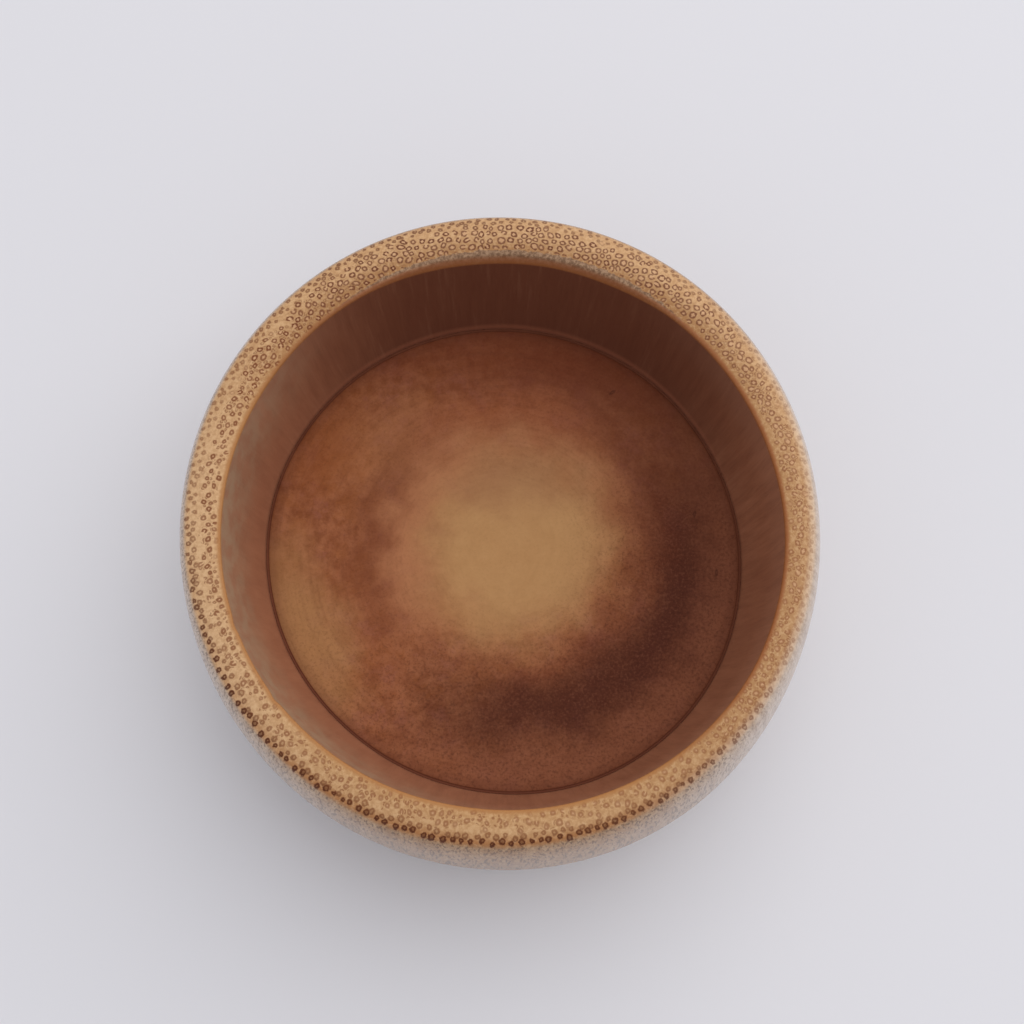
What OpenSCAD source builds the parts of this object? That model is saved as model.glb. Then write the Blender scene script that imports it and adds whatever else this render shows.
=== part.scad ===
// A low bamboo cup. A ring of thick culm is turned to a round-bellied shape on one axis, while
// its own hollow lies a little to the side, so the lip is wide on one side and narrow on the other.
// A dished disc drops in through the mouth, lands on a ledge and is held by a line of dark glue.
// Millimetres, +Z up. The origin is the middle of the footprint, on the surface the cup stands on.

/* [Body] */
// Height of the cup, from the surface it stands on to the top of the lip
height = 32; // [30:0.5:44]
// Largest diameter of the turned body, along Y
body_d = 85.8; // [70:0.1:110]
// How much narrower the body is along X than along Y, because the culm shrank after turning
oval = 2.8; // [0.6:0.1:4]
// Height of the belly, where the body is widest
belly_h = 14.8; // [12:0.1:18]
// How much larger than the belly's height the radius of the curve from belly to foot is
flank_spread = 2.2; // [0.6:0.1:8]
// Rounding of the foot's outer edge
foot_edge_r = 1.5; // [0.5:0.1:2.5]

/* [Lip] */
// How far the shoulder, where the lip turns down into the side, lies inside the belly
shoulder_step = 3; // [1.5:0.1:4]
// Radius of the lip's crown in section
crown_r = 8.7; // [6:0.1:12]
// Slope of the lip where it meets the shoulder, in degrees
lip_slope = 28; // [15:1:35]
// Slope of the lip as it falls inwards to the mouth's edge, in degrees
fall_slope = 3; // [2:0.5:6]
// Slope of the bevel that breaks the mouth's edge on the lip's wide side, in degrees
bevel_slope = 47; // [40:1:55]
// Width of that bevel in plan, where it is widest
bevel_w = 0.95; // [0.6:0.05:1.4]
// How far the bevel's own axis lies from the body's axis, towards +Y
bevel_shift = 3.2; // [2:0.1:4]

/* [Hollow] */
// Mean width of the lip, from the shoulder in to the mouth's edge
lip_w = 5.3; // [4:0.1:7]
// How far the hollow's axis lies from the body's axis, towards -Y
hollow_shift = 1.4; // [0:0.1:2]
// Inner depth, from the lip down to the edge of the floor
inner_depth = 15.7; // [10:0.1:17]
// How much nearer the axis the inner wall is at the floor than at the mouth
wall_taper = 2.8; // [1:0.1:4]
// How far the inner wall bows outwards between mouth and floor
bore_bow = 0.3; // [0.1:0.1:0.8]

/* [Floor] */
// Thickness of the disc at its edge
disc_t = 5.3; // [3:0.1:6]
// How far the middle of the disc lies below its edge
dish = 1.3; // [0.4:0.1:2]
// How far the underside of the disc arches up in the middle
arch = 0.9; // [0.2:0.1:1.4]
// Width of the ledge that carries the disc
ledge_w = 3; // [2:0.1:5]
// Rounding of the foot's inner edge
recess_edge_r = 1.2; // [0.4:0.1:2]

/* [Glue] */
// Gap round the disc that the glue fills
glue_gap = 0.25; // [0.2:0.05:0.4]
// Chamfer on the disc's top edge that the glue lies in
groove = 0.35; // [0.3:0.05:0.6]
// How far the glue has sunk below the floor's edge
glue_sink = 0.12; // [0.05:0.01:0.15]

/* [Hidden] */
$fn = 180;

// Extra length of every cut beyond the face that it leaves through
overrun = 2;
// Number of straight steps in a long curve and in a small rounding
long_steps = 24;
edge_steps = 8;

// Height of the floor's edge and of the ledge under the disc
floor_z = height - inner_depth;
ledge_z = floor_z - disc_t;

// Radii that follow from the body's diameter: belly, shoulder, mouth, seat of the disc, the disc
// itself, and the open recess under it
belly_r = body_d / 2;
shoulder_r = belly_r - shoulder_step;
mouth_r = shoulder_r - lip_w;
seat_r = mouth_r - wall_taper;
disc_r = seat_r - glue_gap;
recess_r = seat_r - ledge_w;

// Side: radius and centre of the flank's arc, centre of the foot's rounding, and the angle where they meet
flank_r = belly_h + flank_spread;
flank_x = belly_r - flank_r;
foot_x = flank_x + sqrt(pow(flank_r - foot_edge_r, 2) - pow(belly_h - foot_edge_r, 2));
foot_turn = atan2(foot_edge_r - belly_h, foot_x - flank_x);

// Side above the belly: a quarter of an ellipse that ends at the shoulder, where its slope
// has flattened to the lip's slope, and the height that this leaves for it below the lip
crown_drop = crown_r * (1 - cos(lip_slope));
side_h = height - crown_drop - belly_h;
side_end = atan(tan(lip_slope) * shoulder_step / side_h);
side_top_r = shoulder_r + shoulder_step * sin(side_end);

// Lip: centre of the crown's arc, and the straight fall from its inner end to a radius that the
// hollow takes away
crown_x = side_top_r - crown_r * sin(lip_slope);
crown_z = height - crown_r;
fall_x = crown_x - crown_r * sin(fall_slope);
fall_z = crown_z + crown_r * cos(fall_slope);
fall_end_r = mouth_r - hollow_shift - wall_taper;
fall_drop = (fall_x - fall_end_r) * tan(fall_slope);

// Bevel: radius of its upper edge about its own axis, and where its cut ends inside the hollow
bevel_r = mouth_r - hollow_shift + bevel_w - bevel_shift;
bevel_end_r = bevel_r - 2 * bevel_w;
bevel_end_z = height - 2 * bevel_w * tan(bevel_slope);

// Hollow: the inner wall is an arc through the mouth's edge and the seat's edge
wall_chord = norm([wall_taper, inner_depth]);
wall_arc_r = (pow(wall_chord / 2, 2) + pow(bore_bow, 2)) / (2 * bore_bow);
wall_half_turn = asin(wall_chord / 2 / wall_arc_r);
wall_lean = atan2(wall_taper, inner_depth);
wall_mid = [(mouth_r + seat_r) / 2, (height + floor_z) / 2];
wall_arc_c = wall_mid - (wall_arc_r - bore_bow) * [cos(wall_lean), -sin(wall_lean)];

// Points of an arc about c with radius r, from angle a to angle b in n steps
function arc(c, r, a, b, n) =
    [for (i = [0 : n]) let (t = a + (b - a) * i / n) c + r * [cos(t), sin(t)]];

// Points of the side above the belly, an ellipse's quarter from the belly up to the shoulder
function upper_side() =
    [for (i = [0 : long_steps])
        let (t = 90 + (side_end - 90) * i / long_steps)
        [shoulder_r + shoulder_step * sin(t), belly_h + side_h * cos(t)]];

// The wood that the lathe leaves, as one turned solid without its hollow
module turned_blank() {
    rotate_extrude()
        polygon(concat(
            [[0, 0]],
            arc([foot_x, foot_edge_r], foot_edge_r, -90, foot_turn, edge_steps),
            arc([flank_x, belly_h], flank_r, foot_turn, 0, long_steps),
            upper_side(),
            arc([crown_x, crown_z], crown_r, 90 - lip_slope, 90 + fall_slope, edge_steps),
            [[fall_end_r, fall_z - fall_drop], [0, fall_z - fall_drop]]));
}

// The blank after shrinking: narrower along X, with its length along Y kept
module shrunk_blank() {
    intersection() {
        translate([oval / 2, 0, 0]) turned_blank();
        translate([-oval / 2, 0, 0]) turned_blank();
    }
}

// All that is open inside the wall: foot recess, ledge, seat, and the hollow up through the mouth
module hollow_cut() {
    translate([0, -hollow_shift, 0])
        rotate_extrude()
            polygon(concat(
                [[0, -overrun], [recess_r + recess_edge_r, -overrun]],
                arc([recess_r + recess_edge_r, recess_edge_r], recess_edge_r, 270, 180, edge_steps),
                [[recess_r, ledge_z], [seat_r, ledge_z]],
                arc(wall_arc_c, wall_arc_r, -wall_lean - wall_half_turn,
                    -wall_lean + wall_half_turn, long_steps),
                [[mouth_r, height + overrun], [0, height + overrun]]));
}

// The cone that breaks the mouth's edge on the lip's wide side. On the narrow side it stays
// inside the hollow
module bevel_cut() {
    translate([0, bevel_shift, 0])
        rotate_extrude()
            polygon([
                [0, bevel_end_z],
                [bevel_end_r, bevel_end_z],
                [bevel_r, height],
                [bevel_r, height + overrun],
                [0, height + overrun]]);
}

// Culm wall: the turned ring of bamboo with its lip, bevel, belly, foot and ledge
module culm_wall() {
    color([0.84, 0.66, 0.44])
        difference() {
            shrunk_blank();
            hollow_cut();
            bevel_cut();
        }
}

// Floor disc: dished above, arched below, with a chamfer for the glue round its top edge
module floor_disc() {
    rim_r = disc_r - groove;
    color([0.62, 0.40, 0.25])
        translate([0, -hollow_shift, 0])
            rotate_extrude()
                polygon(concat(
                    [for (i = [0 : long_steps])
                        let (x = recess_r * i / long_steps)
                        [x, ledge_z + arch * (1 - pow(x / recess_r, 2))]],
                    [[disc_r, ledge_z], [disc_r, floor_z - groove]],
                    [for (i = [long_steps : -1 : 0])
                        let (x = rim_r * i / long_steps)
                        [x, floor_z - dish * (1 - pow(x / rim_r, 2))]]));
}

// Glue line: fills the gap round the disc from the ledge up into the chamfer
module glue_line() {
    color([0.24, 0.12, 0.08])
        translate([0, -hollow_shift, 0])
            rotate_extrude()
                polygon([
                    [disc_r, ledge_z],
                    [seat_r, ledge_z],
                    [seat_r, floor_z - glue_sink],
                    [disc_r - groove + glue_sink, floor_z - glue_sink],
                    [disc_r, floor_z - groove]]);
}

culm_wall();
floor_disc();
glue_line();
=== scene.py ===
"""Looks of a low bamboo cup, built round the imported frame.

Three pieces are dressed: the turned culm wall, the dished floor disc and the line of glue between
them. Each is one closed surface, worked out as a whole array from a few sizes. The materials are
solid patterns about the hollow's axis: rings of fibre bundles on the lip, upright fibres in the
bore and down the outside, and stains on the floor.
"""
import math

import bpy
import numpy as np
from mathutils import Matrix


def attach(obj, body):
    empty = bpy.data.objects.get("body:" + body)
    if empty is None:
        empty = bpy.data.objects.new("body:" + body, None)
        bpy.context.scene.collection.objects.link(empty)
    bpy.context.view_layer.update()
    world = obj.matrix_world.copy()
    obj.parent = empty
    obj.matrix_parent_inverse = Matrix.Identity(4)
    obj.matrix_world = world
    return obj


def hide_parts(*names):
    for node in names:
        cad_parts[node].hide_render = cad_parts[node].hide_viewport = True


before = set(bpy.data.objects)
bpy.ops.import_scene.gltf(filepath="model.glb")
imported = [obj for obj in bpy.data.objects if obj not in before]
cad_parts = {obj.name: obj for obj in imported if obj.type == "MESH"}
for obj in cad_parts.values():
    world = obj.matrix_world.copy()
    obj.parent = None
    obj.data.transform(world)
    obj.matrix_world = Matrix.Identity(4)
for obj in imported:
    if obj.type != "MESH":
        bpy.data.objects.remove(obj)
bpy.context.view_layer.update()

MM = 0.001
TURN = 2 * math.pi

# Sizes of the turned body, in millimetres
HEIGHT = 31.99
BELLY_R = 42.9
HALF_OVAL = 1.4
BELLY_H = 14.8
FLANK_R = 17.0
FOOT_EDGE_R = 1.5
SHOULDER_R = 39.9
SHOULDER_STEP = 3.0
CROWN_R = 8.7
LIP_SLOPE = math.radians(28)
MOUTH_SLOPE = math.radians(7)
BEVEL_SLOPE = math.radians(47)
BEVEL_W = 0.95
BEVEL_SHIFT = 3.2

# Sizes of the hollow, whose axis stands off the body's, and of the floor in it
HOLLOW_Y = -1.4
MOUTH_R = 34.6
SEAT_R = 31.8
BORE_BOW = 0.3
FLOOR_Z = 16.3
LEDGE_Z = 11.0
DISC_R = 31.55
RECESS_R = 28.8
RECESS_EDGE_R = 1.2
DISH = 1.3
ARCH = 0.9
GROOVE = 0.16
RELIEF_DROP = 0.1

# How far the glue is sunk, laps over the disc, climbs the bore, creeps in from it, and is hollowed
GLUE_SINK = 0.03
GLUE_LAP = 0.04
GLUE_CLIMB = 0.1
GLUE_CREEP = 0.07
GLUE_HOLLOW = 0.07

# Distance from the mouth's edge at which its rounding starts, on the lip and on the wall
EDGE_REACH = 0.28

# Softness of the crease between crown and bevel, of the bore's foot and of the ledge's inner edge
CREASE = 0.04
LEDGE_SOFT = 0.15
LEDGE_LIP_SOFT = 0.12

# A hair's breadth, and the softness of the disc's corners from the top down
HAIR = 0.02
TOP_SOFT = 0.05
CHAMFER_SOFT = 0.03
SIDE_SOFT = 0.04
DISC_FOOT_SOFT = 0.08

# Heights of the extra rings on the disc's side and in the recess
SIDE_LEVELS = (14.0, 12.0)
RECESS_LEVELS = (8.0, 5.0, 3.0)

# Shares of the way across the foot, and of the disc's rim where its steps get finer
FOOT_SHARES = (0.02, 0.3, 0.6, 0.98)
DISH_SHARE = 0.96
RIM_SHARES = (0.97, 0.98, 0.99, 1.0)

# Points round the wall and round the floor
ROUND_WALL = 600
ROUND_FLOOR = 480

# Steps along each part of the wall's section and of the disc's
FOOT_STEPS = 7
FLANK_STEPS = 23
SIDE_STEPS = 33
LIP_STEPS = 45
EDGE_STEPS = 7
BORE_STEPS = 25
RECESS_STEPS = 8
DISH_STEPS = 59
ARCH_STEPS = 25

# How strongly the side's steps crowd towards the shoulder
SIDE_CROWDING = 1.7

# How far outside the shoulder the crown's arc still holds
CROWN_OVERRUN = 0.5

# Rounds of putting radius and height into each other until the mouth's edge is found
EDGE_ROUNDS = 12

# Distances kept where none is measured: far off the edge, below and above the shoulder, uncut
OFF_EDGE = 20
BELOW = 30
ABOVE = -5
UNCUT = -1.0

# Centres and ends of the arcs in the turned section
FLANK_X = BELLY_R - FLANK_R
FOOT_X = FLANK_X + math.sqrt((FLANK_R - FOOT_EDGE_R) ** 2 - (BELLY_H - FOOT_EDGE_R) ** 2)
FOOT_TURN = math.atan2(FOOT_EDGE_R - BELLY_H, FOOT_X - FLANK_X)
SIDE_H = HEIGHT - CROWN_R * (1 - math.cos(LIP_SLOPE)) - BELLY_H
SIDE_END = math.atan(math.tan(LIP_SLOPE) * SHOULDER_STEP / SIDE_H)
SIDE_TOP_R = SHOULDER_R + SHOULDER_STEP * math.sin(SIDE_END)
CROWN_X = SIDE_TOP_R - CROWN_R * math.sin(LIP_SLOPE)

# Height of the mouth's edge, and radius at which the lip starts to fall towards it
MOUTH_Z = HEIGHT - CROWN_R * (1 - math.cos(MOUTH_SLOPE))
FALL_X = MOUTH_R + CROWN_R * math.sin(MOUTH_SLOPE)

# Radius of the bevel's upper edge about the bevel's own axis
BEVEL_R = MOUTH_R + HOLLOW_Y + BEVEL_W - BEVEL_SHIFT

# The bore's arc: it passes through the mouth's edge and the seat's edge and bows outwards
BORE_LEAN = math.atan2(MOUTH_R - SEAT_R, MOUTH_Z - FLOOR_Z)
BORE_CHORD = math.hypot(MOUTH_R - SEAT_R, MOUTH_Z - FLOOR_Z)
BORE_ARC_R = (BORE_CHORD ** 2 / 4 + BORE_BOW ** 2) / (2 * BORE_BOW)
BORE_X = (MOUTH_R + SEAT_R) / 2 - (BORE_ARC_R - BORE_BOW) * math.cos(BORE_LEAN)
BORE_Z = (MOUTH_Z + FLOOR_Z) / 2 + (BORE_ARC_R - BORE_BOW) * math.sin(BORE_LEAN)

# Height of a row in a triangular lattice of side 1
LATTICE_ROW = math.sqrt(0.75)

# Rings in a row along the shoulder
ROW_COUNT = 212.0

# Radius of the cylinder on which the upright grain is worked out
GRAIN_R = 36.0

# Middle of the rings that the floor's stains follow, from the hollow's axis
STAIN_X = 1.7
STAIN_Y = 0.4

# The table, in metres: half its width, squares a side, flat radius, curl beyond it, and drop
TABLE_HALF = 3.2
TABLE_SQUARES = 40
TABLE_FLAT = 0.9
TABLE_CURL = 0.12
TABLE_DROP = 0.00002

# The camera: picture and focal length in pixels, sensor in mm, place in metres, turn in degrees
PICTURE_PX = 1024
FOCAL_PX = 1300
SENSOR_MM = 36
CAMERA_PLACE = (-0.0015, -0.0424, 0.1854)
CAMERA_TURN = (15.30, -0.91, -0.085)


def bell(angle, centre_deg, half_width_deg):
    """1 at centre_deg, falling off as exp of minus the squared distance over the half width."""
    away = np.angle(np.exp(1j * (angle - math.radians(centre_deg))))
    return np.exp(-(away / math.radians(half_width_deg)) ** 2)


def soft_abs(value, softness):
    """Absolute value with a rounded bottom: root of the value squared plus the softness squared."""
    return np.sqrt(value ** 2 + softness ** 2)


def ease(share):
    """A share of the way with slow ends: 3 s^2 - 2 s^3."""
    return share * share * (3 - 2 * share)


def steps(count):
    """Shares of the way after each of some equal steps, up to 1."""
    return np.linspace(0, 1, count + 1)[1:]


def mouth_wander(angle):
    """How far the mouth's edge strays from its circle, in millimetres: slow waves of one to three
    turns, a hand-finished ripple, and two small nicks."""
    waves = (-0.14 * np.cos(2 * angle) - 0.15 * np.sin(2 * angle) - 0.16 * np.sin(3 * angle)
             - 0.03 * np.cos(angle) - 0.03 * np.sin(angle))
    ripple = 0.02 * np.sin(9 * angle + 1.0) + 0.015 * np.sin(13 * angle + 2.2)
    nicks = 0.15 * bell(angle, 202, 1.5) + 0.18 * bell(angle, 219, 1.2)
    return waves + ripple + nicks


def seam_wander(angle):
    """How far the floor's edge strays from its circle, in millimetres: an oval on the diagonal,
    smaller waves, and a fine ripple."""
    waves = 0.3 * np.cos(angle) - 0.07 * np.sin(angle) - 0.42 * np.sin(2 * angle)
    return (waves - 0.1 * np.cos(2 * angle) - 0.12 * np.cos(3 * angle)
            + 0.02 * np.sin(9 * angle + 0.5))


def belly_wander(angle):
    """How far the belly strays from its circle, in millimetres: slow waves, drawn in by 0.3."""
    waves = -0.2 * np.sin(angle) + 0.04 * np.cos(angle) - 0.04 * np.cos(2 * angle)
    return waves - 0.19 * np.sin(2 * angle) - 0.13 * np.cos(4 * angle) - 0.3


def shoulder_wander(angle):
    """How far the shoulder strays in the same way: slow waves, drawn in by 0.24."""
    return 0.1 * np.cos(2 * angle) - 0.33 * np.cos(angle) - 0.11 * np.sin(angle) - 0.24


def body_wander(height, angle):
    """How far the body strays at a height: a share of the shoulder's way and of the belly's."""
    share = ease(min(max((height - BELLY_H) / SIDE_H, 0), 1))
    return shoulder_wander(angle) * share + belly_wander(angle) * (1 - share)


def body_ring(radius, height, angle):
    """A level ring of the shrunk body: the lathe's radius, less half the oval times cos^2 a, plus
    the wander at this height."""
    distance = radius - HALF_OVAL * np.cos(angle) ** 2 + body_wander(height, angle)
    return np.stack([distance * np.cos(angle), distance * np.sin(angle),
                     np.full_like(angle, height)], -1)


def bore_ring(radius, height, angle):
    """A ring about the hollow's axis; radius and height may change with the angle."""
    flat = np.zeros_like(angle)
    return np.stack([radius * np.cos(angle), radius * np.sin(angle) + HOLLOW_Y, height + flat], -1)


def lathe_radius(x, y):
    """Radius that a point had on the lathe: the inverse of body_ring, without the wander."""
    return np.hypot(x, y) + HALF_OVAL * x ** 2 / (x ** 2 + y ** 2)


def lip_forms(x, y, lathe):
    """Heights of the lip's crown and of its bevel. The crown is an arc over the lathe radius,
    lowered towards the mouth by an arc over the radius about the hollow's axis. The bevel is a
    slope about an axis of its own that reaches the lip on the wide side alone."""
    outer = np.clip(lathe - CROWN_X, 0, SIDE_TOP_R + CROWN_OVERRUN - CROWN_X)
    inner = np.clip(FALL_X - np.hypot(x, y - HOLLOW_Y), 0, CROWN_R / 2)
    crown = HEIGHT - 2 * CROWN_R + np.sqrt(CROWN_R ** 2 - outer ** 2)
    crown = crown + np.sqrt(CROWN_R ** 2 - inner ** 2)
    bevel = HEIGHT - (BEVEL_R - np.hypot(x, y - BEVEL_SHIFT)) * math.tan(BEVEL_SLOPE)
    return crown, bevel


def lip_height(x, y, lathe):
    """The lower of crown and bevel, with the crease between them rounded."""
    crown, bevel = lip_forms(x, y, lathe)
    return (crown + bevel) / 2 - soft_abs((crown - bevel) / 2, CREASE)


def bore_radius(height):
    """Radius of the inner wall's arc at a height."""
    return BORE_X + np.sqrt(BORE_ARC_R ** 2 - (height - BORE_Z) ** 2)


def seat_radius(angle):
    """Radius of the bore from the floor's edge down to the ledge."""
    return SEAT_R + seam_wander(angle)


def mouth_edge(angle):
    """Radius and height of the mouth's edge, where the bore meets the lip. The radius is put back
    into the lip's height and that height into the bore's arc until both agree."""
    radius = np.full_like(angle, MOUTH_R)
    for _ in range(EDGE_ROUNDS):
        x, y = radius * np.cos(angle), radius * np.sin(angle) + HOLLOW_Y
        height = lip_height(x, y, lathe_radius(x, y))
        radius = bore_radius(height) + mouth_wander(angle)
    return radius, height


def wall_rings():
    """The wall's section carried round: foot, flank, side, lip, mouth's edge, bore, ledge, recess.
    Returns the rings and, for each point, its distance from the mouth's edge (negative inside),
    its distance from the shoulder (negative on the lip) and the depth that the bevel cut away."""
    angle = np.arange(ROUND_WALL) * TURN / ROUND_WALL
    rings, edge, shoulder, bevel = [], [], [], []

    def add(ring, edge_mm=OFF_EDGE, shoulder_mm=BELOW, bevel_mm=UNCUT):
        """One more ring, with its three distances."""
        rings.append(ring)
        for kept, value in ((edge, edge_mm), (shoulder, shoulder_mm), (bevel, bevel_mm)):
            kept.append(np.broadcast_to(value, angle.shape))

    # Foot ring, its rounded edge, the arc of the flank and the side's arc of an ellipse
    foot_in = bore_ring(RECESS_R + RECESS_EDGE_R, 0.0, angle)
    foot_out = body_ring(FOOT_X, 0.0, angle)
    for share in FOOT_SHARES:
        add(foot_in + (foot_out - foot_in) * share)
    for share in np.linspace(0, 1, FOOT_STEPS + 1):
        turn = -math.pi / 2 + (FOOT_TURN + math.pi / 2) * share
        add(body_ring(FOOT_X + FOOT_EDGE_R * math.cos(turn),
                      FOOT_EDGE_R + FOOT_EDGE_R * math.sin(turn), angle))
    for share in steps(FLANK_STEPS):
        turn = FOOT_TURN * (1 - share)
        height = BELLY_H + FLANK_R * math.sin(turn)
        add(body_ring(FLANK_X + FLANK_R * math.cos(turn), height, angle),
            shoulder_mm=SIDE_H + BELLY_H - height)
    for share in steps(SIDE_STEPS):
        turn = SIDE_END + (math.pi / 2 - SIDE_END) * (1 - share) ** SIDE_CROWDING
        height = BELLY_H + SIDE_H * math.cos(turn)
        add(body_ring(SHOULDER_R + SHOULDER_STEP * math.sin(turn), height, angle),
            shoulder_mm=BELLY_H + SIDE_H * math.cos(SIDE_END) - height)

    # Lip, from the shoulder straight across to the mouth and raised to its height at each point
    edge_r, edge_z = mouth_edge(angle)
    start = body_ring(SIDE_TOP_R, HEIGHT, angle)
    end = bore_ring(edge_r + EDGE_REACH, HEIGHT, angle)
    for share in steps(LIP_STEPS):
        ring = start + (end - start) * share
        x, y = ring[:, 0], ring[:, 1]
        lathe = lathe_radius(x, y) - shoulder_wander(angle) * (1 - share)
        ring[:, 2] = lip_height(x, y, lathe)
        crown, slope = lip_forms(x, y, lathe)
        add(ring, np.hypot(x, y - HOLLOW_Y) - edge_r, lathe - SIDE_TOP_R, crown - slope)

    # Mouth's edge, rounded as (1 - s)^2 before + 2 s (1 - s) corner + s^2 after
    before = rings[-1]
    cut_away = bevel[-1]
    corner = bore_ring(edge_r, edge_z, angle)
    below = edge_z - EDGE_REACH
    after = bore_ring(bore_radius(below) + mouth_wander(angle), below, angle)
    for share in steps(EDGE_STEPS):
        add((1 - share) ** 2 * before + 2 * share * (1 - share) * corner + share ** 2 * after,
            EDGE_REACH * (1 - 2 * share), ABOVE, cut_away)

    # Bore down its arc, then the ledge and the recess under the floor
    for share in steps(BORE_STEPS):
        height = below + (FLOOR_Z - below) * share
        wander = mouth_wander(angle) * (1 - ease(share)) + seam_wander(angle) * ease(share)
        add(bore_ring(bore_radius(height) + wander, height, angle), height - edge_z, ABOVE)
    inner = seat_radius(angle)
    add(bore_ring(inner, LEDGE_Z + LEDGE_SOFT, angle), -OFF_EDGE, ABOVE)
    add(bore_ring(inner - LEDGE_SOFT, LEDGE_Z, angle))
    add(bore_ring(RECESS_R + LEDGE_LIP_SOFT, LEDGE_Z, angle))
    for height in (LEDGE_Z - LEDGE_LIP_SOFT, *RECESS_LEVELS):
        add(bore_ring(RECESS_R, height, angle))
    for share in np.linspace(0, 1, RECESS_STEPS + 1)[:-1]:
        turn = math.pi + math.pi / 2 * share
        add(bore_ring(RECESS_R + RECESS_EDGE_R * (1 + math.cos(turn)),
                      RECESS_EDGE_R * (1 + math.sin(turn)), angle))
    return np.array(rings), {"edge_mm": np.array(edge), "shoulder_mm": np.array(shoulder),
                             "bevel_mm": np.array(bevel)}


def relief(x, y):
    """Gentle unevenness of the sanded floor, a sum of a few slow waves, in millimetres."""
    return (0.05 * np.sin(0.21 * x + 0.9) * np.cos(0.17 * y - 0.4)
            + 0.03 * np.sin(0.11 * x - 0.37 * y) + 0.02 * np.cos(0.43 * x + 0.29 * y + 1.0))


def floor_rings():
    """The disc from the middle of its top, over the glue's chamfer and down its side, to the
    middle of its underside. With s the share of the rim, the top is FLOOR_Z - DISH (1 - s^2), the
    relief on it fades as 1 - s^6, and the underside is LEDGE_Z + ARCH (1 - s^2)."""
    angle = np.arange(ROUND_FLOOR) * TURN / ROUND_FLOOR
    side = DISC_R + seam_wander(angle)
    rim = side - GROOVE
    chamfer = FLOOR_Z - GROOVE
    rings = []
    for share in np.append(np.linspace(0, DISH_SHARE, DISH_STEPS + 1)[1:], RIM_SHARES):
        ring = bore_ring(rim * share, FLOOR_Z - DISH * (1 - share ** 2), angle)
        ring[:, 2] += (relief(ring[:, 0], ring[:, 1]) - RELIEF_DROP) * (1 - share ** 6)
        rings.append(ring)
    rings.append(bore_ring(rim + TOP_SOFT, FLOOR_Z - HAIR, angle))
    rings.append(bore_ring(side - CHAMFER_SOFT, chamfer + CHAMFER_SOFT, angle))
    for height in (chamfer - SIDE_SOFT, *SIDE_LEVELS, LEDGE_Z + DISC_FOOT_SOFT):
        rings.append(bore_ring(side, height, angle))
    rings.append(bore_ring(side - DISC_FOOT_SOFT, LEDGE_Z, angle))
    for share in np.linspace(1, 0, ARCH_STEPS + 1)[:-1]:
        rings.append(bore_ring(RECESS_R * share, LEDGE_Z + ARCH * (1 - share ** 2), angle))
    return np.array(rings)


def glue_rings():
    """The glue's section carried round: flat under and outside, with a top between the disc's
    chamfer and the bore that is hollowed as half a sine. Three waves round the disc vary its inner
    reach a little, as in squeezed glue."""
    angle = np.arange(ROUND_FLOOR) * TURN / ROUND_FLOOR
    outer = seat_radius(angle)
    inner = outer - (SEAT_R - DISC_R)
    spill = 0.06 * np.sin(5 * angle + 0.4) + 0.05 * np.sin(11 * angle) + 0.04 * np.sin(23 * angle)
    lap = inner - GROOVE + GLUE_LAP + spill * 0.4
    foot = LEDGE_Z + HAIR
    top = FLOOR_Z - GLUE_SINK
    brim = top + HAIR
    section = [(inner, foot), (outer, foot), (outer, SIDE_LEVELS[0]), (outer, top - TOP_SOFT),
               (outer - HAIR, top + GLUE_CLIMB), (outer - GLUE_CREEP, brim)]
    section += [(outer - GLUE_CREEP + (lap + GLUE_CREEP - outer) * share,
                 brim - GLUE_HOLLOW * math.sin(math.pi * share)) for share in (0.25, 0.5, 0.75)]
    section += [(lap, brim), (lap - GLUE_LAP, top - HAIR), (inner, FLOOR_Z - GROOVE - SIDE_SOFT)]
    return np.array([bore_ring(radius, height, angle) for radius, height in section])


def put_in_scene(name, data):
    """A new object that holds a mesh, a lamp or a camera, linked to the scene."""
    made = bpy.data.objects.new(name, data)
    bpy.context.scene.collection.objects.link(made)
    return made


def smooth_mesh(name, points, faces):
    """An object with a smooth mesh of points in metres."""
    mesh = bpy.data.meshes.new(name)
    mesh.from_pydata(points.tolist(), [], faces)
    mesh.polygons.foreach_set("use_smooth", np.ones(len(mesh.polygons), bool))
    mesh.update()
    return put_in_scene(name, mesh)


def closed_piece(name, rings, poles=()):
    """A closed smooth mesh of rings in millimetres. Without poles the last ring joins the first;
    with poles, a fan closes the first ring about poles[0] and the last about poles[1]. Faces are
    turned outwards by the sign of the volume, the sum of a . (b x c) / 6 over the triangles."""
    count, around = rings.shape[:2]
    here = np.arange(around)
    after = np.roll(here, -1)
    rows = np.arange(count if not poles else count - 1)[:, None]
    up = (rows + 1) % count
    quads = np.stack([rows * around + here, rows * around + after, up * around + after,
                      up * around + here], -1).reshape(-1, 4)
    points = rings.reshape(-1, 3)
    fans = np.zeros((0, 3), int)
    if poles:
        points = np.vstack([points, poles])
        first, last = count * around, count * around + 1
        top = (count - 1) * around
        fans = np.vstack([np.stack([after, here, np.full(around, first)], -1),
                          np.stack([top + here, top + after, np.full(around, last)], -1)])
    triangles = np.vstack([quads[:, :3], quads[:, [0, 2, 3]], fans])
    corners = points[triangles]
    volume = np.einsum("ij,ij->i", corners[:, 0], np.cross(corners[:, 1], corners[:, 2])).sum() / 6
    if volume < 0:
        quads, fans = quads[:, ::-1], fans[:, ::-1]
    return smooth_mesh(name, points * MM, quads.tolist() + fans.tolist())


def keep_distance(piece, name, values):
    """Stores one number for each point, for the materials to read."""
    layer = piece.data.attributes.new(name, "FLOAT", "POINT")
    layer.data.foreach_set("value", values.astype(np.float32).ravel())


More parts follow.
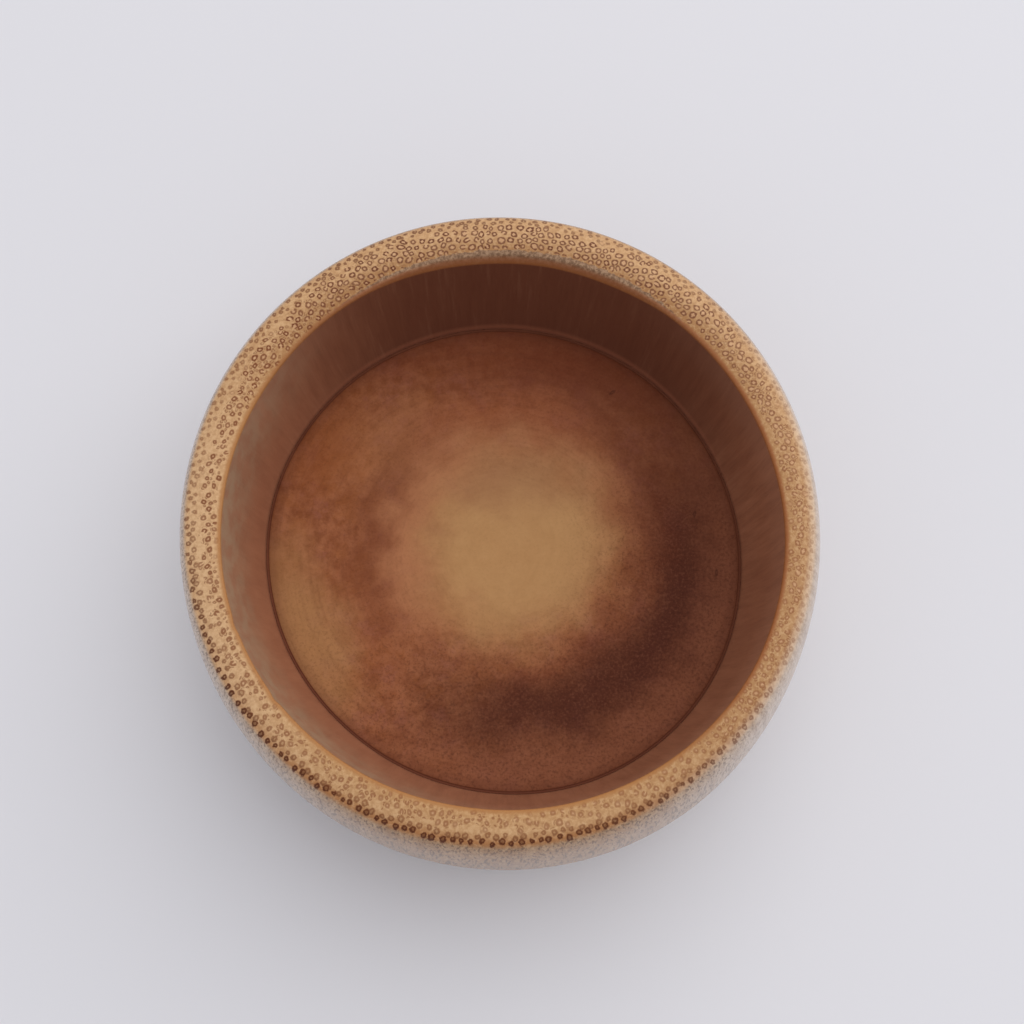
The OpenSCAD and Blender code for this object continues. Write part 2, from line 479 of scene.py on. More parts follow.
def tone(red, green, blue):
    """Linear colour of a shade given as screen values from 0 to 255."""
    shades = np.array([red, green, blue]) / 255
    linear = np.where(shades <= 0.04045, shades / 12.92, ((shades + 0.055) / 1.055) ** 2.4)
    return (*[float(value) for value in linear], 1.0)


class Bench:
    """Puts nodes into one tree. Each method makes a node or a few, joins their inputs and gives
    the output. A value is a number or another node's output."""

    def __init__(self, tree):
        self.tree = tree

    def node(self, kind, inputs=(), **settings):
        """A node of a kind, with its settings, and inputs given by name or number."""
        made = self.tree.nodes.new(kind)
        for key, value in settings.items():
            setattr(made, key, value)
        for key, value in dict(inputs).items():
            self.join(value, made.inputs[key])
        return made

    def join(self, value, socket):
        """Sets a socket to a value, or links an output to it."""
        if isinstance(value, bpy.types.NodeSocket):
            self.tree.links.new(value, socket)
        else:
            socket.default_value = value

    def number(self, operation, first, second=0.0, third=0.0):
        """One step of arithmetic on numbers."""
        return self.node("ShaderNodeMath", {0: first, 1: second, 2: third},
                         operation=operation).outputs[0]

    def times(self, first, *others):
        """Product of two or more values."""
        for other in others:
            first = self.number("MULTIPLY", first, other)
        return first

    def plus(self, first, second):
        """Sum of two values."""
        return self.number("ADD", first, second)

    def minus(self, first, second):
        """Difference of two values."""
        return self.number("SUBTRACT", first, second)

    def scaled(self, value, factor, offset):
        """A value times a factor, plus an offset."""
        return self.number("MULTIPLY_ADD", value, factor, offset)

    def most(self, first, second):
        """The larger of two values."""
        return self.number("MAXIMUM", first, second)

    def apart(self, first, second):
        """How far apart two values are: |first - second|."""
        return self.number("ABSOLUTE", self.minus(first, second))

    def toward(self, angle, degrees):
        """1 where an angle points in a direction, falling to -1 opposite it: their cosine."""
        return self.number("COSINE", self.minus(angle, math.radians(degrees)))

    def ramp(self, value, low, high, start=0.0, end=1.0):
        """Smooth step: start at low, end at high, level beyond both."""
        return self.node("ShaderNodeMapRange", {"Value": value, "From Min": low, "From Max": high,
                                                "To Min": start, "To Max": end},
                         interpolation_type="SMOOTHSTEP").outputs["Result"]

    def vector(self, operation, first, second=(0, 0, 0), output=0):
        """One step of arithmetic on vectors."""
        return self.node("ShaderNodeVectorMath", {0: first, 1: second},
                         operation=operation).outputs[output]

    def whole(self, x=0.0, y=0.0, z=0.0):
        """A vector of three numbers."""
        return self.node("ShaderNodeCombineXYZ", {0: x, 1: y, 2: z}).outputs[0]

    def split(self, vector):
        """The three numbers of a vector."""
        return self.node("ShaderNodeSeparateXYZ", {0: vector}).outputs[:]

    def split_colour(self, colour):
        """The three numbers of a colour."""
        return self.node("ShaderNodeSeparateColor", {0: colour}).outputs[:]

    def length(self, x, y):
        """Length of a flat vector: the root of x^2 + y^2."""
        return self.vector("LENGTH", self.whole(x, y), output=1)

    def angle(self, y, x):
        """Angle of a flat vector, from the X axis towards the Y axis."""
        return self.number("ARCTAN2", y, x)

    def noise(self, vector, scale, detail=2.0, roughness=0.5, output=0):
        """Soft noise: output 0 is a number, output 1 three numbers as a colour."""
        return self.node("ShaderNodeTexNoise", {"Vector": vector, "Scale": scale,
                                                "Detail": detail, "Roughness": roughness}
                         ).outputs[output]

    def stray(self, vector, reach, scale, detail, roughness=0.5):
        """Soft noise about zero in three directions, times a reach in each."""
        cloud = self.noise(vector, scale, detail, roughness, output=1)
        return self.vector("MULTIPLY", self.vector("SUBTRACT", cloud, (0.5, 0.5, 0.5)), reach)

    def kept(self, name):
        """A distance kept in the mesh."""
        return self.node("ShaderNodeAttribute", attribute_name=name).outputs["Fac"]

    def mix(self, share, first, second):
        """Two colours mixed by a share. A colour is an output, or screen values from 0 to 255."""
        first, second = (tone(*colour) if isinstance(colour, tuple) else colour
                         for colour in (first, second))
        return self.node("ShaderNodeMix", {0: share, 6: first, 7: second},
                         data_type="RGBA").outputs[2]

    def layers(self, base, *coats):
        """Lays coats of colour over a base, each a share and a colour."""
        for share, colour in coats:
            base = self.mix(share, base, colour)
        return base


def node_group(name, inputs, outputs):
    """An empty shader node group with number or vector sockets. Gives the group, its bench and the
    outputs of its input node."""
    group = bpy.data.node_groups.new(name, "ShaderNodeTree")
    kinds = {"number": "NodeSocketFloat", "vector": "NodeSocketVector"}
    for labels, way in ((inputs, "INPUT"), (outputs, "OUTPUT")):
        for label, kind in labels.items():
            group.interface.new_socket(label, in_out=way, socket_type=kinds[kind])
    bench = Bench(group)
    return group, bench, bench.node("NodeGroupInput").outputs


def close_group(bench, results):
    """Joins results, by name, to the group's output."""
    bench.node("NodeGroupOutput", results)


def place_group():
    """Position on the cup in millimetres about the hollow's axis, its distance from that axis, its
    angle, and a copy bent a little by slow noise so that nothing runs ruler straight."""
    group, bench, _ = node_group("cup_place", {}, {
        "Place": "vector", "Bent": "vector", "Radius": "number", "Angle": "number"})
    spot = bench.node("ShaderNodeTexCoord").outputs["Object"]
    place = bench.vector("ADD", bench.vector("MULTIPLY", spot, (1 / MM, 1 / MM, 1 / MM)),
                         (0, -HOLLOW_Y, 0))
    x, y, _ = bench.split(place)
    bent = bench.vector("ADD", place, bench.stray(place, (1.6, 1.6, 0.8), 0.22, 2))
    close_group(bench, {"Place": place, "Bent": bent, "Radius": bench.length(x, y),
                        "Angle": bench.angle(y, x)})
    return group


def bundle_group():
    """Fibre bundles of bamboo, cut across. A triangular lattice, sheared to a square one for the
    cell texture and jittered, holds one ring at each point: |distance - ring radius| under the
    rim's width, the rim swelling four times a turn, with a gap in some. Height plays no part but
    through the place that is given. Reach is the turned radius of the ring's centre, which sets
    its size, Inset is how far the centre lies out from the mouth's edge, and Clear is 1 well
    outside any ring."""
    group, bench, given = node_group("fibre_bundles", {
        "Place": "vector", "Spacing": "number", "Inner size": "number", "Outer size": "number",
        "Rim": "number"}, {
        "Ring": "number", "Core": "number", "Clear": "number", "Reach": "number",
        "Inset": "number", "Chance": "number"})
    ramp, times, minus, scaled = bench.ramp, bench.times, bench.minus, bench.scaled
    spacing = given["Spacing"]
    x, y, _ = bench.split(given["Place"])
    flat = bench.whole(x, y)
    flat = bench.vector("ADD", flat, bench.stray(flat, (0.2, 0.2, 0), 2.4, 1))
    x, y, _ = bench.split(flat)

    # Nearest point of the lattice, and three chances that go with it
    row = bench.number("DIVIDE", y, times(spacing, LATTICE_ROW))
    column = scaled(row, -0.5, bench.number("DIVIDE", x, spacing))
    cells = bench.node("ShaderNodeTexVoronoi", {
        "Vector": bench.whole(column, row), "Scale": 1.0, "Randomness": 0.4},
        voronoi_dimensions="2D")
    column, row, _ = bench.split(cells.outputs["Position"])
    cx = times(scaled(row, 0.5, column), spacing)
    cy = times(row, LATTICE_ROW, spacing)
    chance, chance_b, chance_c = bench.split_colour(cells.outputs["Color"])
    around = bench.angle(cy, cx)
    side = bench.toward(around, 55)
    inset = minus(bench.length(cx, cy), MOUTH_R)
    reach = bench.length(times(cx, BELLY_R / (BELLY_R - HALF_OVAL)), bench.plus(cy, HOLLOW_Y))

    # The ring's radius, smaller towards the outside, the mouth and the near left
    size = scaled(minus(given["Outer size"], given["Inner size"]), ramp(reach, 36.0, 40.0),
                  given["Inner size"])
    size = times(size, scaled(chance, 0.45, 0.78), ramp(side, -0.6, 0.7, 0.72, 1.0),
                 ramp(inset, 0.4, 2.2, 0.68, 1.0))

    # Its rim, lobed and sometimes broken
    lx, ly = minus(x, cx), minus(y, cy)
    distance = bench.length(lx, ly)
    turn = minus(bench.angle(ly, lx), around)
    lobes = bench.number("COSINE", scaled(turn, 4.0, times(chance_b, 6.0)))
    lobes = times(lobes, ramp(scaled(side, -0.12, chance_c), 0.6, 0.95, 0.24, 0.42),
                  ramp(side, -0.6, 0.7, 0.25, 1.0))
    rim = times(given["Rim"], bench.plus(lobes, 0.95), ramp(side, -1.0, 0.3, 1.25, 1.0))
    ring = ramp(minus(bench.apart(distance, size), rim), -0.07, 0.09, 1.0, 0.0)
    opening = bench.number("COSINE", scaled(chance_c, 12.0, turn))
    gap = times(ramp(opening, 0.8, 0.96), ramp(chance_b, 0.75, 0.85))
    close_group(bench, {"Ring": times(ring, minus(1.0, gap)),
                        "Core": ramp(minus(size, distance), -0.06, 0.06),
                        "Clear": ramp(minus(distance, size), 0.14, 0.26),
                        "Reach": reach, "Inset": inset, "Chance": chance_c})
    return group


def row_group():
    """A last row of bundles before the rind, packed side by side along the shoulder. Each of
    ROW_COUNT equal steps round the cup holds one dark ring, moved a little along and across by
    chance: distance is the length of (arc along the shoulder, distance from the row). Line is how
    far from the shoulder the row runs."""
    group, bench, given = node_group("shoulder_row", {
        "Place": "vector", "Angle": "number", "Shoulder": "number", "Line": "number",
        "Scatter": "number"}, {"Ring": "number", "Core": "number"})
    ramp, times, minus, scaled = bench.ramp, bench.times, bench.minus, bench.scaled
    wobble_x, wobble_y, _ = bench.split(bench.stray(given["Place"], (0.45, 0.45, 0), 2.6, 2))
    along = scaled(given["Angle"], ROW_COUNT / TURN, times(given["Line"], 0.7))
    cell = bench.number("FLOOR", along)
    number = scaled(given["Line"], 9.0, bench.number("FLOORED_MODULO", cell, ROW_COUNT))
    dice = bench.node("ShaderNodeTexWhiteNoise", {"W": number}, noise_dimensions="1D")
    first, second, third = bench.split_colour(dice.outputs["Color"])
    step = times(minus(minus(along, cell), scaled(first, 0.36, 0.32)),
                 TURN * SHOULDER_R / ROW_COUNT)
    across = minus(minus(given["Shoulder"], given["Line"]),
                   times(minus(second, 0.5), given["Scatter"]))
    distance = bench.length(bench.plus(step, wobble_x), bench.plus(across, wobble_y))
    nearer = ramp(bench.toward(given["Angle"], 256), -0.2, 0.9, 0.72, 1.0)
    size = times(scaled(third, 0.14, 0.16), nearer)
    close_group(bench, {"Ring": ramp(bench.apart(distance, size), 0.05, 0.22, 1.0, 0.0),
                        "Core": ramp(distance, minus(size, 0.06), size, 1.0, 0.0)})
    return group


def grain_group():
    """Fibres that run up the culm. A point is moved out to a cylinder of radius GRAIN_R and
    squeezed along Z, so that noise there gives straight upright streaks, fine and wide. Broad is
    clouds drawn out less."""
    group, bench, given = node_group("upright_grain", {"Place": "vector", "Radius": "number"}, {
        "Fine": "number", "Streaks": "number", "Broad": "number"})
    outward = bench.number("DIVIDE", GRAIN_R, bench.most(given["Radius"], 1.0))
    drawn = bench.vector("MULTIPLY", given["Place"], bench.whole(outward, outward, 0.07))
    loose = bench.vector("MULTIPLY", given["Place"], (1, 1, 0.2))
    close_group(bench, {"Fine": bench.noise(drawn, 3.4, 2, 0.6),
                        "Streaks": bench.noise(drawn, 0.9, 4, 0.65),
                        "Broad": bench.noise(loose, 0.5, 3, 0.6)})
    return group


def wear_group():
    """Handling of a lacquered surface: clouds where it has gone duller."""
    group, bench, given = node_group("handling", {"Place": "vector"}, {"Cloud": "number"})
    close_group(bench, {"Cloud": bench.noise(given["Place"], 0.16, 3, 0.55)})
    return group


def finished_material(name):
    """A material with one Principled shader. Gives the material, its bench and the shader."""
    material = bpy.data.materials.new(name)
    material.use_nodes = True
    tree = material.node_tree
    tree.nodes.clear()
    bench = Bench(tree)
    shader = bench.node("ShaderNodeBsdfPrincipled")
    bench.node("ShaderNodeOutputMaterial", {"Surface": shader.outputs[0]})
    return material, bench, shader


def use_group(bench, group, inputs=()):
    """Places a node group in a tree and gives its outputs."""
    return bench.node("ShaderNodeGroup", inputs, node_tree=group).outputs


def raise_surface(bench, shader, height):
    """Bumps the surface by a height in millimetres, at a little over half strength."""
    bump = bench.node("ShaderNodeBump", {"Height": height, "Strength": 0.6, "Distance": MM})
    bench.join(bump.outputs[0], shader.inputs["Normal"])


def culm_material(groups):
    """Lacquered bamboo: honey lip with dark bundle rings, an amber line at the mouth's edge,
    a brown smoke-cured bore with upright grain, and specked skin down the outside. Painted shade,
    sheen and reflection stand in for some light on the lip, in the bore and down the outside."""
    material, bench, shader = finished_material("lacquered_culm")
    ramp, times, scaled, mix = bench.ramp, bench.times, bench.scaled, bench.mix
    place = use_group(bench, groups["place"])
    grain = use_group(bench, groups["grain"], {"Place": place["Place"], "Radius": place["Radius"]})
    wear = use_group(bench, groups["wear"], {"Place": place["Place"]})
    large, small = (use_group(bench, groups["bundles"], {
        "Place": place["Bent"], "Spacing": spacing, "Inner size": inner, "Outer size": outer,
        "Rim": rim}) for spacing, inner, outer, rim in ((1.16, 0.33, 0.27, 0.11),
                                                        (0.66, 0.19, 0.17, 0.06)))
    last_row, row_before = (use_group(bench, groups["row"], {
        "Place": place["Place"], "Angle": place["Angle"], "Shoulder": bench.kept("shoulder_mm"),
        "Line": line, "Scatter": scatter}) for line, scatter in ((-0.3, 0.45), (-0.98, 0.6)))
    edge, shoulder, bevel = (bench.kept(name) for name in ("edge_mm", "shoulder_mm", "bevel_mm"))
    height_mm = bench.split(place["Place"])[2]

    def facing(degrees, low, high):
        """1 on the side of the cup at an angle, 0 away from it."""
        return ramp(bench.toward(place["Angle"], degrees), low, high)

    near = facing(256, -0.05, 0.75)
    far = facing(90, 0.3, 0.9)
    cut = scaled(far, 0.6, bevel)
    mottle = bench.noise(place["Place"], 2.0, 3, 0.7)
    down = ramp(shoulder, -0.15, 0.45)
    near_shoulder = ramp(shoulder, -1.6, -0.1)

    # Honey of the lip, browner towards the mouth, with painted shade on the far side towards the
    # mouth, lighter on the left, and a painted sheen on the right shoulder
    # Painted sheen on the right shoulder, where the window's light would glance off the lacquer
    pale = times(facing(-8, 0.4, 1.0), ramp(shoulder, -1.3, 0.2), 0.65)
    honey = bench.layers(
        mix(grain["Broad"], (192, 146, 101), (212, 169, 123)),
        (ramp(edge, 0.2, 2.6, 0.4, 0.0), (180, 130, 78)),
        # Painted shade on the far side, darker towards the mouth
        (times(far, ramp(edge, 0.8, 4.0, 0.75, 0.0)), (150, 102, 58)),
        (times(near_shoulder, facing(272, 0.0, 0.8), 0.7), (160, 98, 50)),
        (times(facing(-12, 0.3, 1.0), ramp(edge, 1.5, 4.5, 0.3, 0.1)), (140, 92, 48)),
        (times(facing(192, 0.7, 1.0), 0.32), (240, 200, 156)),
        (pale, (228, 206, 182)))

    # Skin down the outside, streaked, with a painted sheen that makes it paler on the left and
    # right, and mottling over it all
    paler = bench.most(pale, times(facing(184, 0.3, 1.0), 0.5))
    skin = mix(paler, mix(grain["Broad"], (160, 122, 86), (184, 148, 112)), (220, 206, 192))
    body = bench.layers(
        mix(down, honey, skin),
        (times(ramp(grain["Streaks"], 0.4, 0.7), down, 0.4), (132, 96, 66)),
        (ramp(mottle, 0.42, 0.66, 0.0, 0.3), (150, 100, 58)),
        (ramp(mottle, 0.36, 0.5, 0.22, 0.0), (226, 190, 146)))

    # Rings of the large bundles, and of small ones between them on the left and right
    within = ramp(large["Reach"], 38.35, 38.5, 1.0, 0.0)
    clear = times(ramp(large["Inset"], 0.5, 0.6), ramp(cut, -0.35, -0.12, 1.0, 0.0))
    faint = times(scaled(large["Chance"], 0.25, 0.8),
                  scaled(bench.toward(place["Angle"], 120), 0.18, 0.78))
    between = times(small["Ring"], large["Clear"], within, ramp(small["Inset"], 0.5, 0.65),
                    ramp(small["Chance"], 0.2, 0.5), ramp(cut, -0.5, -0.3, 1.0, 0.0),
                    bench.most(facing(205, -0.6, 0.6), facing(-5, 0.5, 0.9)), 0.7)
    rings = bench.most(times(large["Ring"], within, clear, faint), between)

    # The last two rows along the shoulder, darkest and partly filled on the near side
    dark = scaled(far, 0.2, scaled(near, 0.4, 0.6))
    dark = scaled(facing(10, -0.2, 0.8), -0.22, dark)
    row_rings = bench.most(last_row["Ring"], times(row_before["Ring"], scaled(near, -0.2, 0.9)))
    row_dots = times(bench.most(last_row["Core"], times(row_before["Core"], 0.5)), near)
    row_rings = times(bench.most(row_rings, times(row_dots, 0.65)), dark)
    rings = bench.most(rings, row_rings)
    ring_tone = bench.layers(
        mix(facing(300, -0.6, 0.8), (94, 42, 20), (132, 74, 38)),
        (times(facing(190, 0.2, 0.9), 0.55), (136, 74, 36)),
        (times(near_shoulder, near), (84, 36, 14)))

    # Dark specks drawn out down the outside, the broken strip along the bevel in a painted pale
    # grey reflection over darker specks, the amber line
    drawn = bench.vector("MULTIPLY", place["Place"], (1, 1, 0.035))
    speckled = scaled(facing(-2, 0.6, 0.95), -0.5, 0.65)
    specks = times(ramp(bench.noise(drawn, 3.0, 2, 0.6), 0.5, 0.62), down, speckled)
    ragged = scaled(bench.noise(place["Place"], 1.1, 4, 0.7), 1.1, -0.72)
    broken = times(ramp(bench.minus(cut, ragged), 0.0, 0.16), ramp(edge, 0.05, 0.2))
    # Painted reflection: pale grey on the bevel's strip, with darker specks where the mottle is
    # high
    bevel_reflection_and_specks = mix(ramp(mottle, 0.36, 0.64), (158, 126, 100), (104, 78, 60))
    line = ramp(scaled(facing(72, 0.4, 0.9), -0.1, edge), 0.15, 0.7, 0.85, 0.0)
    amber = mix(facing(5, 0.3, 0.9), (170, 114, 64), (146, 82, 42))
    body = bench.layers(
        body,
        (times(large["Core"], within, clear, 0.35), (216, 168, 130)),
        (times(rings, 0.95), ring_tone),
        (specks, (92, 68, 50)),
        (times(broken, 0.85), bevel_reflection_and_specks),
        (line, mix(far, amber, (142, 84, 48))))

    # The bore, with painted shade that makes it darkest on the far side, streaks, a cloudy painted
    # sheen on the left, painted light near the mouth and low on the far side, and painted shade at
    # its foot
    streaky = scaled(facing(195, 0.2, 0.9), -0.7, 1.0)
    sheen = scaled(ramp(bench.noise(place["Place"], 0.35, 4, 0.6), 0.35, 0.65), 0.42, 0.22)
    bore = bench.layers(
        mix(grain["Broad"], (140, 88, 64), (172, 116, 86)),
        # Painted shade: darker on the far side
        (times(facing(80, 0.25, 0.95), 0.8), (94, 52, 38)),
        (times(ramp(grain["Streaks"], 0.42, 0.68, 0.0, 0.18), streaky), (92, 50, 36)),
        (times(ramp(grain["Streaks"], 0.3, 0.46, 0.07, 0.0), streaky), (196, 148, 118)),
        (times(ramp(grain["Fine"], 0.5, 0.7, 0.0, 0.14), streaky), (84, 46, 32)),
        # Painted sheen on the left, in clouds, fading down from the mouth
        (times(facing(200, 0.3, 0.95), ramp(edge, -13.0, -1.0), sheen), (168, 150, 122)),
        # Painted light near the mouth, all round but the far side
        (times(facing(270, -0.95, -0.5), ramp(edge, -8.0, -1.0), 0.1), (198, 158, 132)),
        # Painted reflected light: a lighter band just above the floor on the far side
        (times(facing(80, 0.2, 0.9), ramp(height_mm, FLOOR_Z + 0.4, FLOOR_Z + 1.5, 0.3, 0.0)),
         (190, 120, 90)),
        # Painted shade at the foot of the bore, next to the floor
        (ramp(height_mm, FLOOR_Z, FLOOR_Z + 0.8, 0.4, 0.0), (96, 52, 38)))
    inside = ramp(edge, -0.5, -0.14, 1.0, 0.0)
    bench.join(mix(inside, body, bore), shader.inputs["Base Color"])

    # Duller in clouds and on the rings, with rings sunk and grain and mottling raised a trace
    rough = scaled(wear["Cloud"], 0.16, 0.36)
    bench.join(scaled(rings, 0.08, rough), shader.inputs["Roughness"])
    bench.join(times(down, 0.85), shader.inputs["Coat Weight"])
    height = scaled(rings, -0.012, times(grain["Fine"], 0.03))
    height = scaled(times(mottle, bench.plus(broken, 0.15)), 0.05, height)
    raise_surface(bench, shader, height)
    shader.inputs["Specular IOR Level"].default_value = 0.14
    shader.inputs["Coat Roughness"].default_value = 0.25
    return material


def floor_material(groups):
    """Sanded and scorched floor: a pale ochre heart, a red-brown field, a burnt crescent on the
    near right, golden and orange patches towards the left, with turning marks, speckle and three
    small ringed scars."""
    material, bench, shader = finished_material("scorched_floor")
    ramp, times, minus, scaled, mix = (bench.ramp, bench.times, bench.minus, bench.scaled,
                                       bench.mix)
    place = use_group(bench, groups["place"])
    wear = use_group(bench, groups["wear"], {"Place": place["Place"]})
    x, y, _ = bench.split(place["Place"])
    bent = bench.vector("ADD", place["Place"], bench.stray(place["Place"], (9, 9, 0), 0.13, 4, 0.6))
    bx, by, _ = bench.split(bent)

    def oval(x, y, cx, cy, rx, ry, turn=0.0):
        """How far out a point lies in a turned oval about (cx, cy), 0 in the middle and 1 on its
        edge: the length of its distances along the oval's own axes, each over its radius."""
        dx, dy = minus(x, cx), minus(y, cy)
        c, s = math.cos(turn), math.sin(turn)
        u = scaled(dx, c / rx, times(dy, s / rx))
        v = scaled(dy, c / ry, times(dx, -s / ry))
        return bench.length(u, v)

    def patch(cx, cy, rx, ry, turn=0.0):
        """1 inside an oval with bent edges, 0 well outside it."""
        return ramp(oval(bx, by, cx, cy, rx, ry, turn), 0.2, 1.3, 1.0, 0.0)

    def arc_band(radius, half, middle, half_turn):
        """1 along part of a ring: |distance - radius| within half a width, and the angle within
        half_turn degrees of the middle one, both with soft ends."""
        dx, dy = minus(bx, STAIN_X), minus(by, STAIN_Y)
        off = bench.apart(bench.length(dx, dy), radius)
        reach = ramp(bench.toward(bench.angle(dy, dx), middle),
                     math.cos(math.radians(half_turn + 30)), math.cos(math.radians(half_turn - 25)))
        return times(ramp(off, 0.0, half, 1.0, 0.0), reach)

    def stained(field, *stains):
        """Lays stains over the field, each a mask, a strength and a colour."""
        return bench.layers(field, *((times(mask, strength), colour)
                                     for mask, strength, colour in stains))

    # The field with blotches, a ruddy right and far edge, gold and brown on the left, the heart
    soft = bench.noise(place["Place"], 0.5, 4, 0.65)
    blotch = bench.noise(place["Place"], 0.24, 4, 0.7)
    field = stained(
        mix(ramp(soft, 0.3, 0.7), (134, 76, 46), (164, 102, 68)),
        (ramp(blotch, 0.5, 0.66), 0.4, (146, 84, 40)),
        (ramp(blotch, 0.34, 0.48, 1.0, 0.0), 0.4, (156, 96, 78)),
        (arc_band(27, 11, 20, 70), 0.75, (112, 58, 38)),
        (ramp(by, 16, 30), 0.6, (122, 58, 34)),
        (patch(-26.5, -11.5, 7, 15, 0.35), 0.75, (176, 128, 82)),
        (patch(-17, -6, 6, 15, 0.15), 0.35, (142, 80, 48)),
        (patch(-24, 15, 6, 9, -0.5), 0.6, (150, 84, 44)),
        (patch(-14, 14, 9, 8), 0.5, (174, 114, 74)),
        (arc_band(15.5, 6, 120, 110), 0.6, (164, 104, 70)))
    heart = ramp(oval(bx, by, 1.9, 1.2, 15.5, 15.5), 0.4, 1.2, 1.0, 0.0)
    field = mix(heart, field, mix(soft, (174, 128, 82), (190, 144, 96)))

    # The burnt crescent between its rusty and its rosy edge, then short arcs round the heart
    field = stained(
        field,
        (arc_band(16.8, 5, -30, 60), 0.45, (134, 70, 44)),
        (arc_band(22.3, 10, -48, 62), 0.9, (76, 35, 24)),
        (arc_band(30, 7, -48, 65), 0.75, (134, 80, 56)),
        (arc_band(20, 5, 30, 20), 0.5, (92, 42, 26)),
        (patch(1.5, 10, 9, 5), 0.35, (140, 86, 62)),
        (arc_band(15, 4.5, 165, 35), 0.35, (186, 126, 88)),
        (arc_band(20, 5, 168, 30), 0.4, (108, 56, 36)),
        (arc_band(20, 5, 90, 25), 0.4, (156, 88, 56)))

    # Turning marks, speckle that is strongest on the near right, the scars and painted shade along
    # the rim
    turned = bench.whole(times(place["Radius"], 1.7), times(place["Angle"], 2.2), 0.0)
    marks = bench.noise(turned, 1.0, 3, 0.6)
    outer = ramp(place["Radius"], 6, 20)
    speckle = bench.noise(place["Place"], 2.8, 3, 0.7)
    dusting = ramp(bench.toward(place["Angle"], -60), -0.4, 0.9, 0.1, 0.4)
    dusting = scaled(outer, dusting, 0.06)
    scars = [(ramp(bench.apart(oval(x, y, cx, cy, 0.5, 0.22, turn), 0.6), 0.1, 0.7, 1.0, 0.0), 0.5,
              (64, 30, 20)) for cx, cy, turn in ((15.2, 22.6, 0.6), (26.0, 5.2, 1.4),
                                                 (28.6, -3.0, 1.5))]
    field = stained(
        field,
        (ramp(marks, 0.4, 0.7), scaled(outer, 0.1, 0.04), (96, 50, 30)),
        (ramp(speckle, 0.48, 0.68), dusting, (66, 32, 20)),
        (ramp(speckle, 0.3, 0.5, 0.3, 0.0), dusting, (172, 112, 84)),
        *scars,
        # Painted shade along the rim, next to the glue line
        (ramp(bench.kept("rim_mm"), 0.0, 1.8, 1.0, 0.0), 0.35, (96, 50, 34)))
    bench.join(field, shader.inputs["Base Color"])

    bench.join(scaled(wear["Cloud"], 0.2, 0.42), shader.inputs["Roughness"])
    raise_surface(bench, shader, scaled(marks, 0.012, times(speckle, 0.02)))
    shader.inputs["Specular IOR Level"].default_value = 0.06
    return material


def glue_material(groups):
    """Dark brown glue, dulled by handling, uneven in colour along the line and more even where it
    is thinnest, on the near side."""
    material, bench, shader = finished_material("dark_glue_line")
    place = use_group(bench, groups["place"])
    patchy = bench.noise(place["Place"], 0.5, 3)
    thin = bench.ramp(bench.toward(place["Angle"], 275), 0.0, 0.9)
    brown = bench.mix(patchy, (94, 50, 34), (118, 68, 48))
    bench.join(bench.mix(thin, brown, (104, 58, 41)), shader.inputs["Base Color"])
    bench.join(bench.scaled(patchy, 0.2, 0.6), shader.inputs["Roughness"])
    shader.inputs["Specular IOR Level"].default_value = 0.05
    return material


def table_material():
    """Pale lilac-grey matt board, with a trace of cloudiness."""
    material, bench, shader = finished_material("pale_board")
    spot = bench.node("ShaderNodeTexCoord").outputs["Object"]
    cloud = bench.noise(spot, 5.0, 3)
    bench.join(bench.mix(cloud, (222, 220, 223), (227, 225, 228)), shader.inputs["Base Color"])
    bench.join(bench.scaled(cloud, 0.1, 0.6), shader.inputs["Roughness"])
    return material


def stand_on_table(material):
    """The pale board under the cup: a broad square, level near the cup and then curled up by
    TABLE_CURL times the square of the distance beyond TABLE_FLAT."""
    points_a_side = TABLE_SQUARES + 1
    share = np.linspace(-1, 1, points_a_side)
    x, y = np.meshgrid(share * TABLE_HALF, share * TABLE_HALF)
    z = TABLE_CURL * np.clip(np.hypot(x, y) - TABLE_FLAT, 0, None) ** 2 - TABLE_DROP
    points = np.stack([x, y, z], -1).reshape(-1, 3)
    row, column = np.meshgrid(np.arange(TABLE_SQUARES), np.arange(TABLE_SQUARES), indexing="ij")
    low = (row * points_a_side + column).ravel()
    high = low + points_a_side
    squares = np.stack([low, low + 1, high + 1, high], -1)
    table = smooth_mesh("table", points, squares.tolist())
    table.data.materials.append(material)


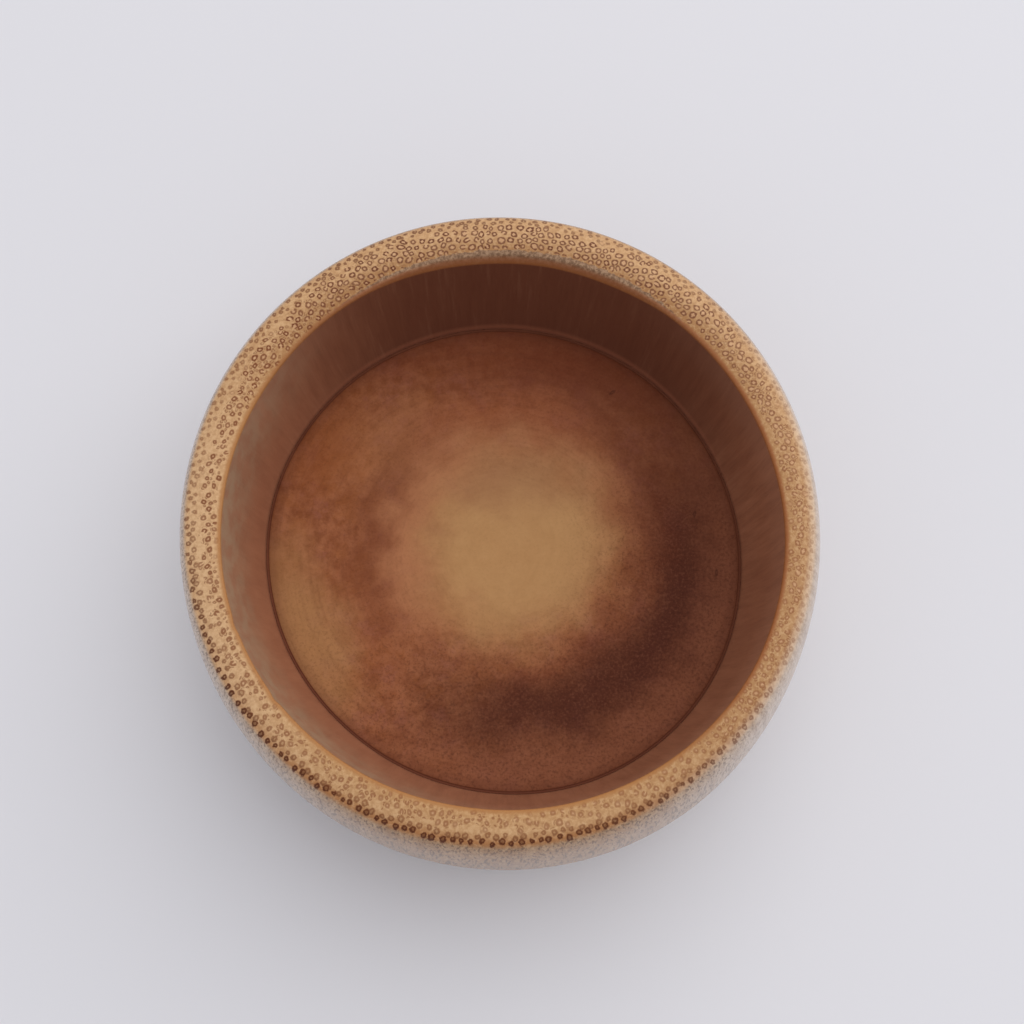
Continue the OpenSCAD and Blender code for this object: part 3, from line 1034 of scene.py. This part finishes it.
def soft_lamp(name, azimuth, elevation, distance, size, power, colour):
    """A square lamp at an angle round and above the cup, turned to face it."""
    light = bpy.data.lights.new(name, "AREA")
    light.shape = "SQUARE"
    light.size = size
    light.energy = power
    light.color = colour
    lamp = put_in_scene(name, light)
    turn, rise = math.radians(azimuth), math.radians(elevation)
    lamp.location = (distance * math.cos(rise) * math.cos(turn),
                     distance * math.cos(rise) * math.sin(turn), distance * math.sin(rise))
    lamp.rotation_euler = (math.pi / 2 - rise, 0, turn + math.pi / 2)


def light_room():
    """A broad window on the far right and the even light of a pale room."""
    soft_lamp("window", azimuth=50, elevation=48, distance=1.6, size=2.4, power=18.5,
              colour=(1.0, 0.99, 0.98))
    world = bpy.data.worlds.new("room")
    world.use_nodes = True
    backdrop = world.node_tree.nodes["Background"]
    backdrop.inputs["Color"].default_value = (0.93, 0.95, 1.0, 1)
    backdrop.inputs["Strength"].default_value = 0.7
    bpy.context.scene.world = world


def place_camera():
    """The photographer's view: steeply from above, a little from the near side."""
    lens = bpy.data.cameras.new("camera")
    lens.sensor_width = SENSOR_MM
    lens.lens = SENSOR_MM * FOCAL_PX / PICTURE_PX
    lens.clip_start = 0.01
    camera = put_in_scene("camera", lens)
    camera.location = CAMERA_PLACE
    camera.rotation_euler = [math.radians(value) for value in CAMERA_TURN]
    bpy.context.scene.camera = camera


def finish_piece(piece, node, material):
    """Gives a piece its material, hangs it under the root body and hides the node it stands for."""
    piece.data.materials.append(material)
    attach(piece, "root")
    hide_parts(node)


groups = {"place": place_group(), "bundles": bundle_group(), "row": row_group(),
          "grain": grain_group(), "wear": wear_group()}
rings, distances = wall_rings()
wall = closed_piece("dressed_culm_wall", rings)
for name, values in distances.items():
    keep_distance(wall, name, values)

disc = floor_rings()
poles = ((0, HOLLOW_Y, FLOOR_Z - DISH + float(relief(0.0, HOLLOW_Y)) - RELIEF_DROP),
         (0, HOLLOW_Y, LEDGE_Z + ARCH))
floor = closed_piece("dressed_floor_disc", disc, poles)
x, y, _ = np.vstack([disc.reshape(-1, 3), poles]).T
y = y - HOLLOW_Y
keep_distance(floor, "rim_mm", DISC_R - GROOVE + seam_wander(np.arctan2(y, x)) - np.hypot(x, y))

glue = closed_piece("dressed_glue_line", glue_rings())
finish_piece(wall, "culm_wall", culm_material(groups))
finish_piece(floor, "floor_disc", floor_material(groups))
finish_piece(glue, "glue_line", glue_material(groups))

stand_on_table(table_material())
light_room()
place_camera()
bpy.context.scene.view_settings.view_transform = "Standard"
